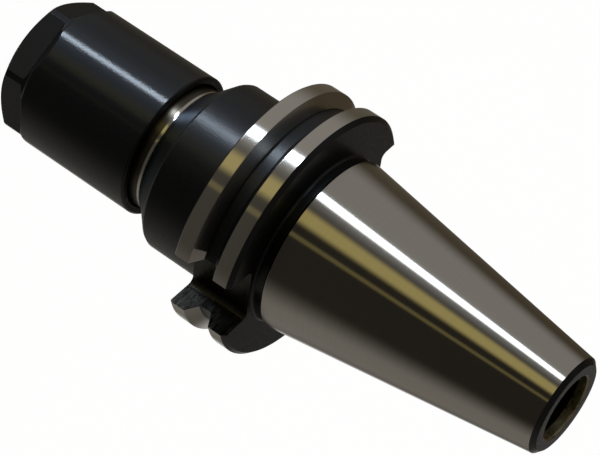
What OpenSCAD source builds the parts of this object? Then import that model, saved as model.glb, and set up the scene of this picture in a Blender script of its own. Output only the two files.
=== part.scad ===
// Collet chuck holder: steep taper shank, V-flange, turned nose and a long round collet nut.
// It stands on the front face of its nut, with +Z along its axis towards the small end.

/* [Shank] */
// Diameter of the taper at the gauge line
gauge_dia = 44.45; // [40:0.05:50]
// Length of the taper from the gauge line to the small end
shank_len = 68.25; // [60:0.05:80]
// Chamfer round the small end
end_chamfer = 1.1; // [0.5:0.1:2]

/* [Knob hole] */
// Diameter of the pilot bore at the small end
pilot_dia = 16.32; // [15:0.02:19]
// Depth of the pilot bore
pilot_depth = 4.8; // [3:0.1:8]
// Minor diameter of the knob thread
knob_minor_dia = 13.5; // [12:0.1:14.4]
// Depth of the knob thread from the small end
knob_depth = 30; // [24:0.5:36]
// Diameter of the coolant bore through the holder
coolant_dia = 10; // [6:0.5:11]

/* [Flange] */
// Diameter of the flange
flange_dia = 63.5; // [60:0.1:70]
// Width of the flange along the axis
flange_w = 15.87; // [14:0.01:20]
// Distance from the gauge line to the flange's rear face
gauge_gap = 3.18; // [2.6:0.01:5]
// Chamfer of the flange's rear edge
flange_rear_chamfer = 1; // [0.4:0.1:2]
// Chamfer of the flange's front edge
flange_front_chamfer = 0.4; // [0.2:0.1:1.5]
// Depth of the relief behind the flange, below the gauge diameter
relief_depth = 0.575; // [0.2:0.025:1.5]
// Radius in the root of that relief
relief_fillet = 0.8; // [0.3:0.1:1.2]

/* [Gripper groove] */
// Width of the V-groove at the flange's outside
groove_w = 7.11; // [6:0.01:9]
// Depth of the V-groove
groove_depth = 3.57; // [2.5:0.01:4.5]
// Distance from the flange's rear face to the groove's centre
groove_offset = 8.21; // [6.5:0.01:9.5]
// Radius in the bottom corners of the groove
groove_fillet = 0.7; // [0.2:0.1:1]

/* [Drive slots] */
// Width of both drive slots
slot_w = 16.4; // [14:0.1:19]
// Distance from the axis to the bottom of the deep slot
slot_deep = 22.6; // [22.5:0.1:24]
// Distance from the axis to the bottom of the shallow slot
slot_shallow = 25; // [23:0.1:27]
// Radius of the slots' inner corners
slot_fillet = 1.6; // [0.5:0.1:3]

/* [Body] */
// Diameter of the body in front of the flange
body_dia = 44.45; // [40:0.05:45]
// Length of the body in front of the flange
body_len = 15.85; // [12:0.05:24]
// Small edge break between the body and its shoulder
body_edge = 0.3; // [0.1:0.1:1]
// Radial step from the nose thread up to the ground neck
neck_step = 0.7; // [0.3:0.05:1.5]
// Length of the neck that shows behind the nut
neck_len = 3.175; // [2:0.025:12]
// Radius between the neck and the shoulder
neck_fillet = 1.6; // [0.5:0.1:3]

/* [Nose] */
// Diameter of the nose thread, crests left off
nose_thread_dia = 31; // [30:0.1:31.4]
// Gap between the front of the nose and the step in the nut
nose_gap = 0.4; // [0.2:0.1:1]
// Distance from the end of the nut's thread to the front end of the neck
neck_lead = 1.1; // [0.5:0.1:3]
// Width of the thread's run-out groove
runout_w = 2; // [1:0.1:3]
// Depth of the run-out groove below the thread
runout_depth = 0.6; // [0.3:0.1:1.2]
// Chamfer at the front of the nose
nose_chamfer = 1; // [0.4:0.1:2]

/* [Nut] */
// Thickness of the nut's wall over the neck
nut_wall = 1.95; // [1.2:0.05:3]
// Length of the nut
nut_len = 40.4; // [38:0.1:42]
// Size across the six wrench flats
wrench_af = 31.75; // [30.5:0.05:32.6]
// Radial step from the nut's outside down to the corners of its flats
hex_step = 0.65; // [0.2:0.05:1]
// Length of the flats from the front face
flat_len = 6.3; // [4:0.1:8]
// Distance from the front face to the full diameter at the corners
hex_shoulder = 8; // [6.5:0.1:11]
// Angle of the front chamfer
nut_front_angle = 30; // [15:1:45]
// Chamfer at the rear of the nut
nut_rear_chamfer = 0.5; // [0.2:0.1:1.5]
// Radial gap between the neck and the nut's rear bore
nut_rear_gap = 0.4; // [0.1:0.05:1]
// Depth of that rear bore
nut_rear_depth = 6; // [3:0.1:8]
// Thickness of the nut's front lip
lip_t = 4; // [3:0.1:5]

/* [Thrust ring] */
// Outer diameter of the thrust ring
ring_dia = 27.8; // [26:0.1:28.4]
// Thickness of the thrust ring behind the nut's lip
ring_t = 6.2; // [5:0.1:6.4]
// Diameter of the ring's front boss, which passes through the lip
ring_boss_dia = 22.8; // [21.4:0.1:23.6]
// Depth of the ring's front face below the nut's front face
ring_recess = 0.6; // [0.2:0.1:1]

/* [Snap ring] */
// Thickness of the snap ring
snap_t = 1.1; // [0.8:0.1:1.4]
// Radial width of the snap ring
snap_w = 1.9; // [1.4:0.1:2.4]
// Depth of the snap ring's groove
snap_groove_depth = 0.9; // [0.5:0.1:1.1]
// Thickness of the nut's wall behind that groove
snap_wall = 1.1; // [0.6:0.1:2]
// Opening of the snap ring
snap_gap_angle = 40; // [20:1:70]

/* [Collet] */
// Largest diameter of the collet
collet_dia = 19.6; // [19:0.1:20.2]
// Diameter of the collet's rear end
collet_rear_dia = 16.6; // [16.2:0.1:17.4]
// Diameter of the collet's front face
collet_face_dia = 16; // [15:0.1:17]
// Length of the collet
collet_len = 38; // [34:0.5:39]
// Bore of the collet
collet_bore = 12.7; // [3:0.05:13.5]
// Angle of the collet's front cone from its axis
collet_front_angle = 30; // [25:1:40]
// Length of the collet's straight band behind its front cone
collet_band = 1.3; // [0.5:0.1:2.5]
// Width of the collet's slits
slit_w = 0.7; // [0.4:0.1:1.2]
// Number of slits from each end
slit_count = 6; // [4:1:6]
// Turn of the first slit from the deep drive slot
slit_turn = 15; // [0:0.5:30]
// Solid length left at the end of the slits
slit_land = 6; // [4:0.5:9]
// Diameter of the relief hole at the end of each slit
slit_hole_dia = 1.8; // [1.2:0.1:2]

/* [Stop screw] */
// Diameter of the stop screw, thread crests left off
stop_dia = 13.9; // [12:0.1:14]
// Length of the stop screw
stop_len = 14; // [10:0.5:20]
// Chamfer of the stop screw's ends
stop_chamfer = 1; // [0.4:0.1:2]
// Gap between the collet and the stop screw
stop_gap = 5; // [4:0.5:8]
// Length of the thread that the stop screw runs in
stop_thread_len = 36; // [34:0.5:40]
// Size across the flats of its hexagon socket
stop_socket_af = 8; // [6:0.5:9]
// Depth of its hexagon socket
stop_socket_depth = 7; // [4:0.5:9]
// Diameter of the hole through the stop screw
stop_hole_dia = 5; // [3:0.5:6]

/* [Fits] */
// Radial running clearance of threads and of the thrust ring
run_gap = 0.05; // [0.02:0.01:0.1]
// Clearance between faces and cones that seat on each other
seat_gap = 0.05; // [0.03:0.01:0.1]
// Small edge break on turned edges
edge = 0.4; // [0.2:0.1:0.6]

/* [Hidden] */
$fn = 96;
turned_fn = 180;
fillet_fn = 32;
hole_fn = 24;
cut = 1;
turn = 360;
taper_rate = 7 / 24;
drill_angle = 59;
groove_wall_angle = 30;
shoulder_angle = 45;
fillet_steps = 6;
slots = 2;
flats = 6;

gauge_r = gauge_dia / 2;
end_r = gauge_r - shank_len * taper_rate / 2;
flange_r = flange_dia / 2;
relief_r = gauge_r - relief_depth;
body_r = body_dia / 2;
nose_r = nose_thread_dia / 2;
neck_r = nose_r + neck_step;
pilot_r = pilot_dia / 2;
knob_r = knob_minor_dia / 2;
coolant_r = coolant_dia / 2;

nut_thread_r = nose_r + run_gap;
nut_rear_r = neck_r + nut_rear_gap;
nut_r = nut_rear_r + nut_wall;
nut_face_r = wrench_af / 2 - edge / 2;
hex_corner_r = nut_r - hex_step;
ring_r = ring_dia / 2;
ring_seat_r = ring_r + run_gap;
ring_boss_r = ring_boss_dia / 2;
lip_r = ring_boss_r + run_gap;
snap_groove_r = ring_seat_r + snap_groove_depth;
snap_r = snap_groove_r - seat_gap;

z_ring = lip_t + seat_gap;
z_ring_rear = z_ring + ring_t;
z_snap = z_ring_rear + 2 * seat_gap;
z_snap_groove_end = z_snap + snap_t + seat_gap;
z_nut_step = z_snap_groove_end + snap_wall;
z_nut_thread_end = nut_len - nut_rear_depth;

z_nose = z_nut_step + nose_gap;
z_neck_front = z_nut_thread_end + neck_lead;
z_neck_rear = nut_len + neck_len;
z_body_front = z_neck_rear + (body_r - neck_r) / tan(shoulder_angle);
z_flange_front = z_body_front + body_len;
z_flange_rear = z_flange_front + flange_w;
z_groove = z_flange_rear - groove_offset;
z_gauge = z_flange_rear + gauge_gap;
z_end = z_gauge + shank_len;

collet_face_r = collet_face_dia / 2;
collet_r = collet_dia / 2;
collet_rear_r = collet_rear_dia / 2;
z_collet = ring_recess + edge;
z_collet_cone = z_collet + (collet_r - collet_face_r) / tan(collet_front_angle);
z_collet_taper = z_collet_cone + collet_band;
z_collet_rear = z_collet + collet_len;
collet_slope = (collet_r - collet_rear_r) / (z_collet_rear - z_collet_taper);
z_socket_end = z_collet_rear + 2 * edge;

stop_r = stop_dia / 2;
stop_bore_r = stop_r + run_gap;
z_stop = z_collet_rear + stop_gap;
z_stop_thread_end = z_socket_end + stop_thread_len;

function arc(c, r, from, to) =
    [for (i = [0:fillet_steps]) let (a = from + (to - from) * i / fillet_steps) c + r * [cos(a), sin(a)]];
function collet_taper_r(z) = collet_r - (z - z_collet_taper) * collet_slope;

// V-groove section, from its front edge to its rear edge
function groove_section() =
    let (
        slant = groove_depth * tan(groove_wall_angle),
        bottom = groove_w / 2 - slant,
        bottom_r = flange_r - groove_depth,
        lead = groove_fillet * tan((90 - groove_wall_angle) / 2),
        c = [bottom_r + groove_fillet, bottom - lead]
    )
    concat(
        [[flange_r, z_groove - groove_w / 2]],
        arc([c.x, z_groove - c.y], groove_fillet, 270 - groove_wall_angle, 180),
        arc([c.x, z_groove + c.y], groove_fillet, 180, 90 + groove_wall_angle),
        [[flange_r, z_groove + groove_w / 2]]
    );

// Concave radius between the neck and the shoulder cone
function neck_section() =
    let (
        lead = neck_fillet * tan((90 - shoulder_angle) / 2),
        c = [neck_r + neck_fillet, z_neck_rear - lead]
    )
    arc(c, neck_fillet, 180, 180 - shoulder_angle);

// Outside of the holder, from the front of its nose to the small end
function holder_outside() = concat(
    [
        [nose_r - nose_chamfer, z_nose],
        [nose_r, z_nose + nose_chamfer],
        [nose_r, z_neck_front - runout_w - runout_depth],
        [nose_r - runout_depth, z_neck_front - runout_w],
        [nose_r - runout_depth, z_neck_front],
        [neck_r - edge, z_neck_front],
        [neck_r, z_neck_front + edge]
    ],
    neck_section(),
    [
        [body_r - body_edge, z_body_front - body_edge],
        [body_r, z_body_front + body_edge],
        [body_r, z_flange_front],
        [flange_r - flange_front_chamfer, z_flange_front],
        [flange_r, z_flange_front + flange_front_chamfer]
    ],
    groove_section(),
    [
        [flange_r, z_flange_rear - flange_rear_chamfer],
        [flange_r - flange_rear_chamfer, z_flange_rear]
    ],
    arc([relief_r + relief_fillet, z_flange_rear + relief_fillet], relief_fillet, 270, 180),
    [
        [relief_r, z_gauge - relief_depth],
        [gauge_r, z_gauge],
        [end_r + end_chamfer * taper_rate / 2, z_end - end_chamfer],
        [end_r - end_chamfer, z_end]
    ]
);

// Bores of the holder, from the small end to the front of its nose
function holder_inside() = [
    [pilot_r + edge, z_end],
    [pilot_r, z_end - edge],
    [pilot_r, z_end - pilot_depth],
    [knob_r, z_end - pilot_depth],
    [knob_r, z_end - knob_depth],
    [coolant_r, z_end - knob_depth - (knob_r - coolant_r) / tan(drill_angle)],
    [coolant_r, z_stop_thread_end + (stop_bore_r - coolant_r) / tan(drill_angle)],
    [stop_bore_r, z_stop_thread_end],
    [stop_bore_r, z_socket_end],
    [collet_taper_r(z_socket_end) + seat_gap, z_socket_end],
    [collet_taper_r(z_nose) + seat_gap, z_nose]
];

// Drive slot seen along the axis, with round inner corners
module slot_outline(bottom) {
    len = flange_r + cut - bottom;
    translate([bottom + slot_fillet, -slot_w / 2])
        square([len - slot_fillet, slot_w]);
    translate([bottom, -slot_w / 2 + slot_fillet])
        square([len, slot_w - 2 * slot_fillet]);
    for (side = [-1, 1])
        translate([bottom + slot_fillet, side * (slot_w / 2 - slot_fillet)])
            circle(r = slot_fillet, $fn = fillet_fn);
}

module drive_slot(bottom) {
    translate([0, 0, z_flange_front - cut])
        linear_extrude(height = flange_w + 2 * cut)
            slot_outline(bottom);
}

module holder_body() {
    color([0.36, 0.36, 0.37])
        difference() {
            rotate_extrude($fn = turned_fn)
                polygon(concat(holder_outside(), holder_inside()));
            drive_slot(slot_deep);
            rotate([0, 0, turn / slots])
                drive_slot(slot_shallow);
        }
}

// Cutter for one wrench flat, with the sloped run-out at its end
module flat_cutter() {
    apothem = wrench_af / 2;
    rise = nut_r + cut - apothem;
    rotate([90, 0, 0])
        linear_extrude(height = 2 * nut_r, center = true)
            polygon([
                [apothem, -cut],
                [apothem, flat_len],
                [apothem + rise, flat_len + rise],
                [apothem + rise, -cut]
            ]);
}

module nut_turning() {
    rotate_extrude($fn = turned_fn)
        polygon([
            [nut_face_r, 0],
            [hex_corner_r, (hex_corner_r - nut_face_r) * tan(nut_front_angle)],
            [hex_corner_r, hex_shoulder - hex_step],
            [nut_r, hex_shoulder],
            [nut_r, nut_len - nut_rear_chamfer],
            [nut_r - nut_rear_chamfer, nut_len],
            [nut_rear_r + edge, nut_len],
            [nut_rear_r, nut_len - edge],
            [nut_rear_r, z_nut_thread_end],
            [nut_thread_r, z_nut_thread_end],
            [nut_thread_r, z_nut_step],
            [ring_seat_r, z_nut_step],
            [ring_seat_r, z_snap_groove_end],
            [snap_groove_r, z_snap_groove_end],
            [snap_groove_r, z_snap - seat_gap],
            [ring_seat_r, z_snap - seat_gap],
            [ring_seat_r, lip_t],
            [lip_r, lip_t],
            [lip_r, edge],
            [lip_r + edge, 0]
        ]);
}

module clamp_nut() {
    color([0.2, 0.2, 0.22])
        difference() {
            nut_turning();
            for (i = [0:flats - 1])
                rotate([0, 0, i * turn / flats])
                    flat_cutter();
        }
}

// Free-turning ring that presses on the collet's front cone
module thrust_ring() {
    gap = seat_gap / cos(collet_front_angle);
    cone_r = collet_r + gap;
    mouth_r = collet_face_r + gap;
    color([0.3, 0.3, 0.32])
        rotate_extrude()
            polygon([
                [ring_boss_r - edge, ring_recess],
                [ring_boss_r, ring_recess + edge],
                [ring_boss_r, z_ring],
                [ring_r - edge, z_ring],
                [ring_r, z_ring + edge],
                [ring_r, z_ring_rear - edge],
                [ring_r - edge, z_ring_rear],
                [cone_r, z_ring_rear],
                [cone_r, z_collet_cone],
                [mouth_r, z_collet],
                [mouth_r, ring_recess]
            ]);
}

// Open ring that keeps the thrust ring in the nut
module snap_ring() {
    color([0.45, 0.45, 0.47])
        rotate([0, 0, snap_gap_angle / 2])
            rotate_extrude(angle = turn - snap_gap_angle)
                translate([snap_r - snap_w, z_snap])
                    square([snap_w, snap_t]);
}

module collet_turning() {
    rotate_extrude()
        polygon([
            [collet_bore / 2, z_collet],
            [collet_face_r, z_collet],
            [collet_r, z_collet_cone],
            [collet_r, z_collet_taper],
            [collet_rear_r, z_collet_rear - edge],
            [collet_rear_r - edge, z_collet_rear],
            [collet_bore / 2, z_collet_rear]
        ]);
}

// One slit from the axis outwards, with a relief hole at its closed end
module slit(z_open, z_closed) {
    z_low = min(z_open, z_closed);
    translate([0, -slit_w / 2, z_low])
        cube([collet_dia, slit_w, abs(z_closed - z_open)]);
    translate([0, 0, z_closed])
        rotate([0, 90, 0])
            cylinder(d = slit_hole_dia, h = collet_dia, $fn = hole_fn);
}

module collet() {
    pitch = turn / slit_count;
    color([0.62, 0.61, 0.58])
        difference() {
            collet_turning();
            for (i = [0:slit_count - 1]) {
                rotate([0, 0, slit_turn + i * pitch])
                    slit(z_collet - cut, z_collet_rear - slit_land);
                rotate([0, 0, slit_turn + (i + 0.5) * pitch])
                    slit(z_collet_rear + cut, z_collet + slit_land);
            }
        }
}

// Hollow grub screw behind the collet that sets how deep the tool goes
module stop_screw() {
    color([0.25, 0.25, 0.27])
        difference() {
            rotate_extrude()
                polygon([
                    [stop_hole_dia / 2, z_stop],
                    [stop_r - stop_chamfer, z_stop],
                    [stop_r, z_stop + stop_chamfer],
                    [stop_r, z_stop + stop_len - stop_chamfer],
                    [stop_r - stop_chamfer, z_stop + stop_len],
                    [stop_hole_dia / 2, z_stop + stop_len]
                ]);
            translate([0, 0, z_stop + stop_len - stop_socket_depth])
                cylinder(d = stop_socket_af / cos(turn / flats / 2), h = stop_socket_depth + cut, $fn = flats);
        }
}

holder_body();
clamp_nut();
thrust_ring();
snap_ring();
collet();
stop_screw();
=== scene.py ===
"""Dressed model of a collet chuck holder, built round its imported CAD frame, with its studio."""

from math import ceil, cos, hypot, pi, radians, sin, tan

import bmesh
import bpy
from mathutils import Matrix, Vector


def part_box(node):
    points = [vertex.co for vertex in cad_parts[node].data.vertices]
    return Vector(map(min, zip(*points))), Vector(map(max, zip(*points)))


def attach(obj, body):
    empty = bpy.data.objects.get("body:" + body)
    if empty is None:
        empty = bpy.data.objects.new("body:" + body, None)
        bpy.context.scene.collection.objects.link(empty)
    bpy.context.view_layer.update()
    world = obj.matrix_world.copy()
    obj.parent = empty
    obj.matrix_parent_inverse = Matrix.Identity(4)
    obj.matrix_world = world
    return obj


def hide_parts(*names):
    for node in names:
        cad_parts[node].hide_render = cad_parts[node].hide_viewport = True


bl_info = {
    "name": "Collet chuck holder",
    "version": (1, 0, 0),
    "blender": (4, 5, 0),
    "location": "3D View > Sidebar > Chuck",
    "description": "Builds a steep taper collet chuck holder, its nut and a plain studio",
    "category": "Object",
}

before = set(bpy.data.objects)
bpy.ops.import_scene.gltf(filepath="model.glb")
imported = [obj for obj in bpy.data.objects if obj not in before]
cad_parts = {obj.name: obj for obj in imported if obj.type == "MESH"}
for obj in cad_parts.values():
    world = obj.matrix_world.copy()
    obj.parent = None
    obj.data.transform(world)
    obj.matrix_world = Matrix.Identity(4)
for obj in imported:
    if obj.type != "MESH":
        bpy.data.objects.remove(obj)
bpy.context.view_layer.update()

MM = 0.001
NUT_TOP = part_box("clamp_nut")[1].z
SMALL_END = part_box("holder_body")[1].z

# Slopes and counts
TAPER_RATE = 7 / 24
SHOULDER = radians(45)
HALF_V = radians(30)  # as on the threads, the gripper groove and the collet's front cone
FLANK = tan(HALF_V)
DRILL_POINT = tan(radians(59))  # half of a 118 degree point
HEX_SIDES = 6
SLITS = 6
KNOB_TURNS = 12
SNAP_GAP = radians(40)
METRIC_DEPTH = 0.613  # of a screw's thread, in pitches

# Steps and smoothness of the meshes
TURNED_STEPS = 192
SNAP_STEPS = 160
THREAD_STEPS = 72
DRILL_STEPS = 24
TAPER_STEPS = 12
SLOT_STEPS = 8
ARC_STEPS = 6
EDGE_STEPS = 2
MERGE = 0.001 * MM
SHARP = radians(28)

# Edges, clearances and the reach of cutters
SMALL_EDGE = 0.12 * MM
CHAMFER = 0.4 * MM
THREAD_LEAD = 0.9 * MM
ROOT_RELIEF = 0.05 * MM
FIT = 0.05 * MM
OVERCUT = 0.1 * MM
CLEAR = 1 * MM

# Inside of the holder and the nut, as the collet, the rings and the screw need it
BORE_MOUTH = 2.4 * MM
STOP_BORE_R = 7 * MM
STOP_BORE_END = 75.8 * MM
SOCKET_END = 39.8 * MM
SOCKET_REAR_R = 8.40 * MM
SOCKET_FRONT_R = 9.50 * MM
NUT_LIP = 4 * MM
LIP_R = 11.45 * MM
SEAT_R = 13.95 * MM
SNAP_GROOVE_R = 14.85 * MM
SNAP_GROOVE_LOW = 10.3 * MM
SNAP_GROOVE_HIGH = 11.5 * MM


def distance(name, description, default_mm):
    """A length property in metres, from a size in millimetres."""
    return bpy.props.FloatProperty(
        name=name, description=description, default=default_mm * MM, min=0, precision=5,
        subtype="DISTANCE", unit="LENGTH",
    )


def linear(code):
    """Turns an sRGB hex colour to linear light."""
    parts = [int(code[i : i + 2], 16) / 255 for i in (1, 3, 5)]
    return tuple(p / 12.92 if p <= 0.04045 else ((p + 0.055) / 1.055) ** 2.4 for p in parts)


def tint(name, description, code):
    """A colour property from an sRGB hex colour."""
    return bpy.props.FloatVectorProperty(
        name=name, description=description, default=linear(code), min=0, max=1, size=3, subtype="COLOR"
    )


def share(name, description, default):
    """A property that runs from 0 to 1."""
    return bpy.props.FloatProperty(
        name=name, description=description, default=default, min=0, max=1, subtype="FACTOR"
    )


class ShankSizes(bpy.types.PropertyGroup):
    """Sizes of the steep taper shank and the hole for its pull knob."""

    gauge_dia: distance("Gauge diameter", "Diameter of the taper at the gauge line", 44.45)
    gauge_height: distance("Gauge height", "Height of the gauge line over the nut's front face", 84.5)
    end_chamfer: distance("End chamfer", "Chamfer round the small end", 1.1)
    pilot_dia: distance("Pilot diameter", "Diameter of the pilot bore at the small end", 16.32)
    pilot_depth: distance("Pilot depth", "Depth of the pilot bore", 4.8)
    knob_major: distance("Knob thread, major", "Major diameter of the knob thread", 15.875)
    knob_minor: distance("Knob thread, minor", "Minor diameter of the knob thread", 13.5)
    knob_pitch: distance("Knob thread pitch", "Pitch of the knob thread", 2.309)
    knob_depth: distance("Knob thread depth", "Depth of the knob thread's bore from the small end", 30)
    coolant_dia: distance("Coolant bore", "Diameter of the bore through the holder", 10)


class FlangeSizes(bpy.types.PropertyGroup):
    """Sizes of the V-flange and its drive slots."""

    flange_dia: distance("Flange diameter", "Outer diameter of the flange", 63.46)
    flange_w: distance("Flange width", "Width of the flange along the axis", 15.87)
    gauge_gap: distance("Gauge gap", "From the gauge line to the flange's rear face", 3.18)
    rear_chamfer: distance("Rear chamfer", "Chamfer of the flange's rear edge", 1)
    front_chamfer: distance("Front chamfer", "Chamfer of the flange's front edge", 0.4)
    relief_depth: distance("Relief depth", "Depth of the relief behind the flange", 0.575)
    relief_fillet: distance("Relief radius", "Radius in the root of the relief", 0.8)
    groove_w: distance("Groove width", "Width of the V-groove at the flange's outside", 7.11)
    groove_depth: distance("Groove depth", "Depth of the V-groove", 3.57)
    groove_offset: distance("Groove offset", "From the flange's rear face to the groove's centre", 8.21)
    groove_fillet: distance("Groove radius", "Radius in the bottom corners of the V-groove", 0.7)
    slot_w: distance("Slot width", "Width of both drive slots", 16.4)
    slot_deep: distance("Deep slot", "From the axis to the bottom of the deep slot", 22.6)
    slot_shallow: distance("Shallow slot", "From the axis to the bottom of the shallow slot", 25)
    slot_fillet: distance("Slot radius", "Radius of the slots' inner corners", 1.6)


class NoseSizes(bpy.types.PropertyGroup):
    """Sizes of the body, the ground neck and the threaded nose."""

    body_dia: distance("Body diameter", "Diameter of the body in front of the flange", 44.45)
    body_len: distance("Body length", "Length of the body in front of the flange", 15.85)
    body_edge: distance("Body edge", "Edge break between the body and its shoulder", 0.3)
    neck_dia: distance("Neck diameter", "Diameter of the ground neck", 32.4)
    neck_front: distance("Neck front", "Height of the neck's front end", 35.5)
    neck_fillet: distance("Neck radius", "Radius between the neck and the shoulder", 1.6)
    nose_front: distance("Nose front", "Height of the nose's front face", 13)
    nose_chamfer: distance("Nose chamfer", "Chamfer at the front of the nose", 1)
    crest_dia: distance("Nose thread crests", "Diameter over the crests of the nose thread", 31.6)
    root_dia: distance("Nose thread roots", "Diameter in the roots of the nose thread", 29.9)
    pitch: distance("Nose thread pitch", "Pitch of the nose thread and of the nut's", 1.5875)
    runout_w: distance("Run-out width", "Width of the groove behind the nose thread", 2)


class NutSizes(bpy.types.PropertyGroup):
    """Sizes of the long round nut."""

    nut_dia: distance("Nut diameter", "Outer diameter of the nut", 37.1)
    wrench_af: distance("Across flats", "Size across the six wrench flats", 31.75)
    flat_len: distance("Flat length", "Length of the flats from the front face", 6.3)
    hex_step: distance("Corner step", "Radial step from the outside down to the flats' corners", 0.65)
    hex_shoulder: distance("Shoulder", "Height of the full diameter at the flats' corners", 8)
    rear_chamfer: distance("Rear chamfer", "Chamfer at the rear of the nut", 0.5)
    rear_bore: distance("Rear bore", "Diameter of the bore that runs over the neck", 33.2)
    rear_depth: distance("Rear bore depth", "Depth of the rear bore", 6)
    crest_dia: distance("Nut thread crests", "Diameter inside the crests of the nut's thread", 30.06)
    root_dia: distance("Nut thread roots", "Diameter in the roots of the nut's thread", 31.76)
    step_height: distance("Thread end", "Height of the front end of the nut's thread", 12.6)


class InnerSizes(bpy.types.PropertyGroup):
    """Sizes of the collet, the rings round it and the screw behind it."""

    collet_dia: distance("Collet diameter", "Largest diameter of the collet", 19.6)
    face_dia: distance("Collet face", "Diameter of the collet's front face", 16)
    rear_dia: distance("Collet rear", "Diameter of the collet's rear end", 16.6)
    bore_dia: distance("Collet bore", "Diameter of the collet's bore", 12.7)
    collet_len: distance("Collet length", "Length of the collet", 38)
    face_height: distance("Collet face height", "Height of the collet's front face", 1)
    band: distance("Collet band", "Length of the straight band behind the front cone", 1.3)
    slit_w: distance("Slit width", "Width of the collet's slits", 0.7)
    slit_land: distance("Slit land", "Solid length left at the end of the slits", 6)
    slit_hole: distance("Slit hole", "Diameter of the relief hole at the end of each slit", 1.8)
    slit_turn: bpy.props.FloatProperty(
        name="Slit turn",
        description="Turn of the first slit from the deep drive slot",
        default=radians(15),
        subtype="ANGLE",
    )
    ring_dia: distance("Thrust ring diameter", "Outer diameter of the thrust ring", 27.8)
    boss_dia: distance("Thrust ring boss", "Diameter of the boss in the nut's lip", 22.8)
    ring_recess: distance("Thrust ring recess", "Depth of the ring below the nut's front face", 0.6)
    ring_t: distance("Thrust ring thickness", "Thickness of the ring behind the nut's lip", 6.2)
    snap_w: distance("Snap ring width", "Radial width of the snap ring", 1.9)
    snap_t: distance("Snap ring thickness", "Thickness of the snap ring", 1.1)
    stop_dia: distance("Stop screw diameter", "Diameter over the stop screw's thread", 13.9)
    stop_len: distance("Stop screw length", "Length of the stop screw", 14)
    stop_pitch: distance("Stop screw pitch", "Pitch of the stop screw's thread", 1.5)
    stop_socket: distance("Stop screw socket", "Size across the flats of its hexagon socket", 8)
    stop_hole: distance("Stop screw hole", "Diameter of the hole through the stop screw", 5)


class Finishes(bpy.types.PropertyGroup):
    """Colours and gloss of the steels."""

    ground: tint("Ground steel", "Hardened steel, ground bright", "#c9c5be")
    ground_gloss: share("Ground roughness", "Roughness of the ground steel", 0.15)
    oxide: tint("Black oxide", "Black oxide on turned steel", "#1f2124")
    oxide_gloss: share("Oxide roughness", "Roughness of the black oxide under its oil", 0.50)
    shoulder: tint("Shoulder oxide", "Black oxide over the coarse turning of the shoulder", "#4a5058")
    slot: tint("Slot oxide", "Black oxide over the end-milled drive slots", "#3d3b37")
    # Worn oxide on the neck, darkened further as painted shade from the nut next to it.
    worn_and_shaded: tint("Worn oxide", "Black oxide worn thin on the neck", "#5a554b")
    # The bore's steel in two colours: lighter at the mouth as a painted glint, darker further in as painted
    # shade.
    bore: tint("Bore steel", "Oiled steel at the mouth of the bore", "#a0977c")
    deep: tint("Dark bore steel", "Dark oiled steel inside the bores", "#2a261f")
    collet: tint("Collet steel", "Ground spring steel of the collet", "#c2beb6")
    slit: tint("Slit steel", "Sawn walls of the collet's slits", "#5d584d")
    ring: tint("Ring steel", "Hardened ring in the nut", "#77736c")
    spring: tint("Phosphate", "Phosphate on the snap ring", "#55534f")


class StudioLight(bpy.types.PropertyGroup):
    """Light of the plain studio."""

    strip: bpy.props.FloatProperty(
        name="Strip light", description="Brightness of the strip light", default=18, min=0
    )
    room: bpy.props.FloatProperty(
        name="Room light",
        description="Brightness of the walls and screens that the steel mirrors",
        default=1,
        min=0,
    )


# Shapes


def arc(centre, radius, start, end):
    """Points of an arc in the section plane, from one angle in degrees to another."""
    angles = [radians(start + (end - start) * i / ARC_STEPS) for i in range(ARC_STEPS + 1)]
    return [(centre[0] + radius * cos(a), centre[1] + radius * sin(a)) for a in angles]


def activate(piece):
    """Makes a piece the only selected and active one."""
    bpy.ops.object.select_all(action="DESELECT")
    piece.select_set(True)
    bpy.context.view_layer.objects.active = piece


def apply(piece, kind, **settings):
    """Adds a modifier with its settings and applies it."""
    modifier = piece.modifiers.new(kind, kind)
    for key, value in settings.items():
        setattr(modifier, key, value)
    activate(piece)
    bpy.ops.object.modifier_apply(modifier=modifier.name)


def join_all(pieces):
    """Joins pieces into the first of them."""
    activate(pieces[0])
    for piece in pieces:
        piece.select_set(True)
    bpy.ops.object.join()
    return pieces[0]


def copied(piece):
    """A copy of a piece with its own mesh."""
    other = piece.copy()
    other.data = piece.data.copy()
    bpy.context.scene.collection.objects.link(other)
    return other


def section_wire(name, points):
    """Draws a closed outline (radius, height) by extruding a vertex, and stays in edit mode."""
    bpy.ops.object.select_all(action="DESELECT")
    bpy.ops.mesh.primitive_plane_add(size=MM)
    wire = bpy.context.object
    wire.name = wire.data.name = name
    bpy.ops.object.mode_set(mode="EDIT")
    bpy.ops.mesh.merge(type="CENTER")
    bpy.ops.transform.translate(value=(points[0][0], 0, points[0][1]))
    for (r0, z0), (r1, z1) in zip(points, points[1:]):
        bpy.ops.mesh.extrude_vertices_move(TRANSFORM_OT_translate={"value": (r1 - r0, 0, z1 - z0)})
    bpy.ops.mesh.select_all(action="DESELECT")
    mesh = bmesh.from_edit_mesh(wire.data)
    for vert in mesh.verts:
        if len(vert.link_edges) == 1:
            vert.select_set(True)
    bmesh.update_edit_mesh(wire.data)
    bpy.ops.mesh.edge_face_add()
    return wire


def bevel_sharp(piece, width, angle):
    """Breaks the edges that are sharper than an angle."""
    apply(piece, "BEVEL", width=width, segments=EDGE_STEPS, limit_method="ANGLE", angle_limit=angle)


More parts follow.
